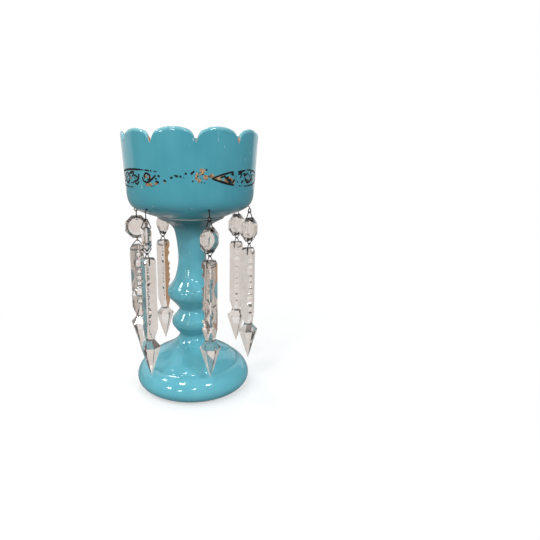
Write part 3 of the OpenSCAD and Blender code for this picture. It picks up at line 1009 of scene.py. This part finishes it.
def rounded_loop(corners, bends, steps=8):
    """Points round a closed outline whose corners are bent to the given radii."""
    out = []
    count = len(corners)
    for i in range(count):
        at = point(*corners[i])
        before = unit(point(*corners[i - 1]) - at)
        after = unit(point(*corners[(i + 1) % count]) - at)
        half_angle = before.angle(after) / 2
        reach = bends[i] / math.tan(half_angle)
        middle = at + unit(before + after) * (bends[i] / math.sin(half_angle))
        start = at + before * reach - middle
        end = at + after * reach - middle
        for k in range(steps + 1):
            out.append(middle + unit(mix(start, end, k / steps)) * bends[i])
    return out


def prism_wire(number, hole_angle, ridge_angle, hole_turn, pin_more):
    """A loop through the prism's hole, straight up beside its head and then in to the next link."""
    side = 6.75
    straight = 4.6
    peak = 12.09
    corners = [(-side, 0), (side, 0), (side, straight), (0, peak), (-side, straight)]
    bends = [1.0, 1.0, 2.0, 1.8, 2.0]
    flat = rounded_loop(corners, bends)
    a = math.radians(ridge_angle + hole_turn)
    foot = around(hole_angle, DROP_R, PRISM_BAR_Z - pin_more)
    points = [foot + Vector((p.x * math.cos(a), p.x * math.sin(a), p.y)) for p in flat]
    edges = [(i, (i + 1) % len(points)) for i in range(len(points))]
    line = new_object("wire_line", points, edges)
    values = {"Radius": WIRE_R * MM, "Unevenness": 0.3 * MM, "Material": IRON}
    wire = grow(line, BENT_WIRE, values, f"bent_prism_wire_{number}")
    drop_object(line)
    tidy(wire, 60)
    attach(wire, f"prism_link_{number}")
    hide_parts(f"prism_wire_{number}")


for number, (hole_angle, _, ridge_angle, hole_turn, pin_more, _) in enumerate(DROPS, 1):
    prism_wire(number, hole_angle, ridge_angle, hole_turn, pin_more)


# Painted band. A stroke is a half width, a share worn away and points in millimetres along the
# band and up from its middle, drawn on the unrolled wall and counted from the motif's middle.


def painted_band_group():
    """Breaks strokes where they are worn, thickens them and lays them round the bowl's wall."""
    group, tree, given = new_tree(
        "painted_band",
        Float=["Wall radius", "Wall slope", "Band height", "Flatness", "Wear size", "Seed"],
        Material=["Material"],
    )
    position = tree.add("GeometryNodeInputPosition")
    inputs = {"Vector": position, "W": given["Seed"], "Scale": 1.0 / given["Wear size"], "Detail": 2.0}
    patch = tree.add("ShaderNodeTexNoise", {"noise_dimensions": "4D"}, inputs).step(0.3, 0.7)
    gone = tree.attribute("wear").math("GREATER_THAN", patch)
    settings = {"domain": "EDGE", "mode": "EDGE_FACE"}
    inputs = {"Geometry": given["Geometry"], "Selection": gone}
    lines = tree.add("GeometryNodeDeleteGeometry", settings, inputs)
    strokes = tree.tube(lines, tree.attribute("half_width"), 8)
    along = tree.add("ShaderNodeSeparateXYZ", None, [position], "X")
    up = along.sibling("Z")
    turn = along / given["Wall radius"]
    out = given["Wall radius"] + up * given["Wall slope"] + along.sibling("Y") * given["Flatness"]
    inputs = [out * turn.math("COSINE"), out * turn.math("SINE"), up + given["Band height"]]
    wrapped = tree.add("ShaderNodeCombineXYZ", None, inputs)
    strokes = tree.add("GeometryNodeSetPosition", None, {"Geometry": strokes, "Position": wrapped})
    close_tree(tree, strokes, given["Material"])
    return group


PAINTED_BAND = painted_band_group()
ink_strokes = []
gilt_strokes = []


def draw(store, azimuth, half, worn, points, blunt=0.6):
    store.append((azimuth, half, worn, points, blunt))


def draw_all(store, azimuth, half, strokes, blunt=0.6):
    for points in strokes:
        draw(store, azimuth, half, 0, points, blunt)


def mirrored(points):
    return [(-s, -h) for s, h in points]


def outline(half_l, half_h, side, start, end):
    """Part of a pointed panel's edge."""
    steps = 16
    along = [mix(start, end, k / steps) for k in range(steps + 1)]
    return [(s, side * half_h * (1 - (s / half_l) ** 2)) for s in along]


def draw_edges(azimuth, half_l, half_h, rows):
    """Stretches of a panel's edge: half width, wear, upper or lower side, start and end."""
    for half, worn, side, start, end in rows:
        draw(ink_strokes, azimuth, half, worn, outline(half_l, half_h, side, start, end))


# Half of a whole panel's scrolls, to the right of its middle, drawn for a panel this long
SCROLL_HALF_L = 44.0
SCROLL_INK = [
    [(5.2, 2.4), (3.8, 4.2), (0.8, 4.4), (-1.6, 2), (-1.6, -1.8), (1.2, -4.4), (5.5, -4.6), (10, -1.6),
     (14.5, 2), (19, 3.6), (22, 2.4), (20.6, 0.6)],
    [(9.5, 0.8), (8.2, 2.2), (9.4, 3.8), (11.8, 3.4), (12.4, 1.2)],
    [(15.5, -1.6), (16.8, -4), (19.6, -4.2), (21.6, -2)],
    [(25.5, 2.2), (28, 0.4)],
    [(26.5, -2.4), (29, -1.6)],
    [(31, 0.8), (34.5, -0.6)],
    [(37, 0.2), (40, 0)],
    [(1, -2.6), (2.2, -1.2)],
    [(4, -3), (4.6, -1.4)],
]
SCROLL_GILT = [
    [(12, -2.6), (17, -0.4)],
    [(24, -0.6), (30, -1.8)],
    [(3, 0.4), (5, -0.8)],
]


def scroll_panel(azimuth, half_l, half_h, worn, halves=(1, -1)):
    """A whole panel, more or less worn."""
    wide = half_l / SCROLL_HALF_L
    for side in halves:
        for edge in (1, -1):
            draw(ink_strokes, azimuth, 0.8, worn, outline(half_l, half_h, edge, 0, side * half_l))
        for store, half, strokes in ((ink_strokes, 0.75, SCROLL_INK), (gilt_strokes, 1.3, SCROLL_GILT)):
            for points in strokes:
                turned = points if side > 0 else mirrored(points)
                draw(store, azimuth, half, worn, [(s * wide, h) for s, h in turned])


def ring_rosette(azimuth, worn):
    """A dashed ring round a cross, with gilt petals."""
    ring_r = 7.0
    middle_h = 1.75
    arm = 2.2

    def at(r, degrees):
        a = math.radians(degrees)
        return (r * math.cos(a), middle_h + r * math.sin(a))

    draw(ink_strokes, azimuth, 0.6, worn, [at(ring_r, 15 * k) for k in range(25)])
    for side in (-1, 1):
        draw(ink_strokes, azimuth, 0.6, worn, [(-arm, middle_h - arm * side), (arm, middle_h + arm * side)])
    for k in range(6):
        draw(gilt_strokes, azimuth, 1.6, worn, [at(r, 60 * k + 20) for r in (2.4, 4.2, 5.8)], 0.3)


# The panel to the right of the front rosette: sound at its tip, worn towards its middle
RIGHT_PANEL = -33.5
RIGHT_L = 44.0
RIGHT_H = 8.0
RIGHT_EDGES = [
    (1.0, 0, 1, -RIGHT_L, -20),
    (1.25, 0, -1, -RIGHT_L, -18.5),
    (0.6, 0.6, -1, -12, 16),
]
RIGHT_INK = [
    [(-35, 0.2), (-33.8, 1.5), (-30.5, 1.7), (-28, -0.6), (-24, -4.6)],
    [(-26.3, 2.1), (-27.3, 0.2), (-25, -1.2), (-23, -2.4), (-24, -4.8)],
    [(-22, -4.4), (-19.4, -2.7), (-18, -0.6)],
    [(-20, 5.3), (-22, 3.8), (-19, 3.4)],
    [(-13.6, 6.6), (-11.5, 6.2), (-2.5, 7.6)],
    [(-13.6, 4), (-8.3, 4.5), (-9, 2), (-10.3, 0.3)],
    [(-5.5, 4.5), (0.3, 2.8)],
    [(-4.6, 1.9), (1.5, 4)],
    [(-2, 0.7), (0.2, -2.3), (5, -4), (10.8, -2.7), (14.7, -0.2)],
    [(-4.6, -2.3), (-8.3, -4.8)],
    [(-16.9, 1.6), (-16, 1.4)],
    [(-15, -3.3), (-13.8, -3.8)],
    [(8.6, 5.3), (12, 6.4)],
]
RIGHT_GILT = [
    [(-42, 0.7), (-38, -0.8), (-33.5, -2.2)],
    [(-37.6, 0.9), (-31.5, 3.2)],
    [(-31, -0.4), (-26.5, -4.2)],
    [(-26, 1), (-20.8, -3.1)],
    [(-20.6, -4), (-18.2, -4.8)],
]
draw_edges(RIGHT_PANEL, RIGHT_L, RIGHT_H, RIGHT_EDGES)
draw_all(ink_strokes, RIGHT_PANEL, 1.1, RIGHT_INK)
draw_all(gilt_strokes, RIGHT_PANEL, 1.75, RIGHT_GILT, 0.4)
draw(gilt_strokes, RIGHT_PANEL, 0.7, 0.1, outline(RIGHT_L, RIGHT_H - 1.2, -1, -38, -24))

# The longer panel to the left of the front rosette: its right two thirds are worn to dashes
LEFT_PANEL = -139.5
LEFT_L = 63.0
LEFT_H = 8.8
LEFT_EDGES = [
    (0.8, 0.3, 1, -LEFT_L, -34),
    (1.15, 0, 1, -34, 14),
    (0.75, 0.3, 1, 14, 32),
    (0.6, 0.7, 1, 30, LEFT_L - 2),
    (0.7, 0.4, -1, -LEFT_L, -30),
    (0.55, 0.68, -1, -30, 30),
]
LEFT_INK = [
    [(-14, 5.8), (-9, 4), (-8, 0.6), (-10, -3), (-14, -4.8), (-18, -3), (-20, 0.6), (-18, 4), (-14, 5.8)],
    [(-6.7, 5.7), (1.6, 6.1), (-1.9, 1.5)],
    [(2.6, 3.6), (9, -0.2), (3.4, -3.5), (6.3, -5.6), (10, -2.7)],
    [(10.3, 4.5), (9.7, -0.6)],
    [(18.4, -0.2), (18, 2.4), (19.9, 4.9), (23.4, 4.2), (25, 1.4), (24, -0.8), (21.6, -0.8)],
    [(15.5, 1.5), (16.3, -1.9), (19.9, -3.6), (23, -3.2), (26, -1.4), (32, 3)],
    [(34, 3), (36.3, 1.5)],
    [(31, 0.2), (33, -0.6)],
    [(31.4, -2.7), (35.3, -3.8)],
    [(40, -1.4), (42.6, -2.7)],
    [(47, 1), (49.4, 0.8)],
    [(52, 2.3), (54.6, 2.2)],
    [(56, 2.1), (58, 1.9)],
    [(61, 4.6), (63, 4.8)],
]
LEFT_GILT = [
    [(20.6, 3.2), (20, 0.4)],
    [(23.6, 2.6), (26, 0)],
    [(19, -5.7), (23, -6), (27.5, -5.2)],
    [(30, -4.6), (33.4, -5)],
    [(40.6, -3), (42, -3.4)],
]
draw_edges(LEFT_PANEL, LEFT_L, LEFT_H, LEFT_EDGES)
draw_all(ink_strokes, LEFT_PANEL, 1.1, LEFT_INK)
draw_all(gilt_strokes, LEFT_PANEL, 1.5, LEFT_GILT, 0.5)

# The front rosette, half of its petals lost
FRONT_ROSETTE_INK = [
    [(-9, 3.9), (-5.6, 7)],
    [(-7.6, -1.8), (-6.6, -2.8)],
    [(1.2, -3.6), (1.9, -3.9)],
    [(5.4, 8.7), (6.8, 7.6)],
    [(4, -3.9), (4.6, -4.1)],
    [(-3.2, 2.3), (-1.8, 2)],
    [(0.4, 0.2), (0.9, -0.4)],
    [(-1.6, 5.4), (-0.6, 5.2)],
    [(2.4, 4.2), (3, 3.2)],
    [(8.4, 1.6), (8.8, 2.4)],
]
FRONT_ROSETTE_GILT = [
    [(-0.4, 7.4), (2, 7.2), (4.3, 6)],
    [(0.2, 4.6), (0.8, 3.4)],
    [(-4.4, 4), (-2.2, 3.2)],
    [(-4.6, 1.2), (-2.2, 0.6)],
    [(-2.2, -0.8), (0.4, -2.6)],
    [(3, 1.7), (5, 1.3), (7.8, 0.5)],
    [(9.4, 2.9), (13.4, 2)],
]
draw_all(ink_strokes, ROSETTES[0], 1.0, FRONT_ROSETTE_INK)
draw_all(gilt_strokes, ROSETTES[0], 2.1, FRONT_ROSETTE_GILT, 0.7)

scroll_panel(RIGHT_PANEL, RIGHT_L, RIGHT_H, 0.22, (1,))
scroll_panel(LEFT_PANEL, LEFT_L, LEFT_H, 0.3, (-1,))
scroll_panel(48.75, 35.0, 8.0, 0.25)
scroll_panel(123.25, 35.0, 8.0, 0.4)
for azimuth in ROSETTES[1:]:
    ring_rosette(azimuth, 0.3)


def strokes_object(name, strokes):
    """The strokes as lines on the unrolled wall, with their half widths and wear."""
    points = []
    edges = []
    halves = []
    wears = []
    for azimuth, half, worn, marks, blunt in strokes:
        start = math.radians(azimuth) * BAND_R
        line = smooth_curve([Vector((start + s, h)) for s, h in marks], 0.5)
        for k, p in enumerate(line):
            if k:
                edges.append((len(points) - 1, len(points)))
            points.append((p.x, 0, p.y))
            swell = abs(math.sin(math.pi * k / (len(line) - 1))) ** 0.5
            halves.append(half * mix(blunt, 1, swell) * MM)
            wears.append(worn)
    thing = new_object(name, points, edges)
    set_attribute(thing, "half_width", "FLOAT", halves)
    set_attribute(thing, "wear", "FLOAT", wears)
    return thing


def paint(name, strokes, material, flatness, seed):
    lines = strokes_object(name + "_lines", strokes)
    values = {
        "Wall radius": BAND_R * MM,
        "Wall slope": WALL_SLOPE,
        "Band height": BAND_Z * MM,
        "Flatness": flatness,
        "Wear size": 2.6 * MM,
        "Seed": seed,
        "Material": material,
    }
    piece = grow(lines, PAINTED_BAND, values, name)
    drop_object(lines)
    tidy(piece, 60)
    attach(piece, "stand")


paint("enamel_lines", ink_strokes, ENAMEL, 0.22, 3.0)
paint("gilt_leaves", gilt_strokes, GILDING, 0.09, 7.0)


# The other wires keep their solids


def dress(node, material):
    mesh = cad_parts[node].data
    mesh.materials.clear()
    mesh.materials.append(material)


BRASS_WIRES = ("hook_pin_6", "jewel_lower_wire_6")
for number in range(1, len(DROPS) + 1):
    for kind in ("hook_pin", "jewel_upper_wire", "jewel_lower_wire"):
        name = f"{kind}_{number}"
        dress(name, BRASS if name in BRASS_WIRES else IRON)


# Stage, lights and camera


def by_ray(tree, other, in_gloss, in_glass, seen):
    """A shader that differs for rays seen straight, through glass, in gloss and in any other way."""
    straight = tree.add("ShaderNodeLightPath", None, None, "Is Camera Ray")
    shader = tree.mix_shader(straight.sibling("Is Glossy Ray"), other, in_gloss)
    shader = tree.mix_shader(straight.sibling("Is Transmission Ray"), shader, in_glass)
    return tree.mix_shader(straight, shader, seen)


def pale_floor():
    """White with the object's shadow where it is seen, and dull in gloss. Glass shows it pale, with
    a dark front, a dark ring round the object as painted shadow, a small dark block and a brown batten."""
    material, tree, place = new_material("pale_floor")
    x = tree.add("ShaderNodeSeparateXYZ", None, [place], "X")
    y = x.sibling("Y")
    away = (x ** 2 + y ** 2).math("SQRT")
    front = 1 - (y + 0.16 * x.math("ABSOLUTE")).step(-0.05, 0.05)
    # Painted shadow: near is a dark ring round the object, which glass shows on the floor.
    near = 1 - away.step(0.11, 0.17)
    block = 1 - ((x + 0.205) ** 2 + (y - 0.075) ** 2).math("SQRT").step(0.018, 0.026)
    across = (0.798 * (y + 0.756 * x - 0.0226)).math("ABSOLUTE")
    batten = (1 - across.step(0.016, 0.024)) * (1 - x.step(-0.14, -0.12))
    in_glass = tree.blend(away.step(0.15, 0.6), (0.93, 0.90, 0.88, 1), ROOM_PALE)
    in_glass = tree.blend((front + near + block).clamp(), in_glass, (0.13, 0.105, 0.09, 1))
    in_glass = tree.blend(batten, in_glass, (0.50, 0.285, 0.125, 1))
    pale = tree.add("ShaderNodeBsdfDiffuse", None, {"Color": (0.9, 0.9, 0.9, 1)})
    bounce = tree.add("ShaderNodeBsdfDiffuse", None, {"Color": (0.30, 0.30, 0.30, 1)})
    dull = tree.glow("Emission", (0.30, 0.29, 0.28, 1))
    in_gloss = tree.mix_shader(away.step(0.1, 0.3), bounce, dull)
    seen = tree.mix_shader(0.5 + 0.5 * away.step(0.10, 0.42), pale, tree.glow("Emission", WHITE))
    shader = by_ray(tree, bounce, in_gloss, tree.glow("Emission", in_glass), seen)
    tree.add("ShaderNodeOutputMaterial", None, {"Surface": shader})
    return material


def floor():
    size = 3.0
    mesh = bpy.data.meshes.new("floor")
    corners = [(-size, -size, 0), (size, -size, 0), (size, size, 0), (-size, size, 0)]
    mesh.from_pydata(corners, [], [(0, 1, 2, 3)])
    mesh.materials.append(pale_floor())
    show("floor", mesh)


def lamp(name, place, size, power, colour=(1, 1, 1)):
    data = bpy.data.lights.new(name, "AREA")
    data.shape = "RECTANGLE"
    data.size, data.size_y = size
    data.energy = power
    data.color = colour
    thing = show(name, data)
    thing.location = place
    middle = Vector((0, 0, 0.15))
    thing.rotation_euler = (middle - Vector(place)).to_track_quat("-Z", "Y").to_euler()


def studio():
    """White behind the object, a room round it for gloss and for glass, a soft fill and small lamps."""
    world = bpy.data.worlds.new("studio")
    bpy.context.scene.world = world
    world.use_nodes = True
    tree = Tree(world.node_tree)
    tree.nodes.clear()
    way = tree.add("ShaderNodeTexCoord", None, None, "Generated")
    x = tree.add("ShaderNodeSeparateXYZ", None, [way], "X")
    back = x.sibling("Y")
    up = x.sibling("Z")
    azimuth = x.math("ARCTAN2", back) / (2 * math.pi)

    def sector(middle, half, soft):
        """1 inside a sector of the room, in degrees to the right of straight behind the object."""
        off = ((azimuth - middle / 360 + 0.5).math("FRACT") - 0.5).math("ABSOLUTE") * 360
        return 1 - off.step(half - soft, half + soft)

    def room(colour, sectors):
        for middle, half, soft, other in sectors:
            colour = tree.blend(sector(middle, half, soft), colour, other)
        return tree.glow("Background", colour)

    glass_sectors = [
        (0, 18, 8, WHITE),
        (15, 7, 3, (0.40, 0.37, 0.35, 1)),
        (104, 16, 5, ROOM_DARK),
        (-152, 22, 8, ROOM_DARK),
        (-100, 7, 4, (0.46, 0.25, 0.11, 1)),
    ]
    gloss_sectors = [(-48, 27, 4, WHITE), (28, 16, 5, WHITE)]
    in_glass = room(ROOM_PALE, glass_sectors)
    in_gloss = room((0.26, 0.26, 0.26, 1), gloss_sectors)
    light = 0.48 + 0.22 * up.step(-0.3, 0.9) + 0.24 * (-1 * back).step(-0.2, 1)
    side_colour = tree.blend(x.step(-0.8, 0.8), (1, 0.965, 0.93, 1), (0.93, 0.985, 1, 1))
    fill = tree.glow("Background", side_colour, light)
    shader = by_ray(tree, fill, in_gloss, in_glass, tree.glow("Background", WHITE))
    tree.add("ShaderNodeOutputWorld", None, {"Surface": shader})
    lamp("key", (-0.40, -0.80, 1.15), (0.20, 0.12), 4)
    lamp("left", (-0.90, -0.25, 0.95), (0.24, 0.15), 2.2)
    lamp("right", (0.7, -0.9, 1.0), (0.20, 0.08), 6, (0.72, 0.91, 1))
    lamp("low_left", (-0.9, -0.9, 0.5), (0.16, 0.07), 2)
    lamp("front", (0.1, -1.4, 0.75), (0.16, 0.07), 2)
    lamp("low_front", (-0.53, -1.31, 0.42), (0.16, 0.10), 1.6)
    lamp("back", (-0.3, 0.9, 1.3), (0.3, 0.2), 5)


def camera():
    pixels = 540
    focal = 439.19
    centre = (223.0, 263.06)
    data = bpy.data.cameras.new("camera")
    data.sensor_width = 36
    data.lens = 36 * focal / pixels
    data.shift_x = 0.5 - centre[0] / pixels
    data.shift_y = centre[1] / pixels - 0.5
    thing = show("camera", data)
    thing.location = Vector((35.83, -493.87, 251.92)) * MM
    thing.rotation_euler = (math.radians(90 - 12.185), 0, 0)
    bpy.context.scene.camera = thing


floor()
studio()
camera()
bpy.context.scene.view_settings.view_transform = "Standard"
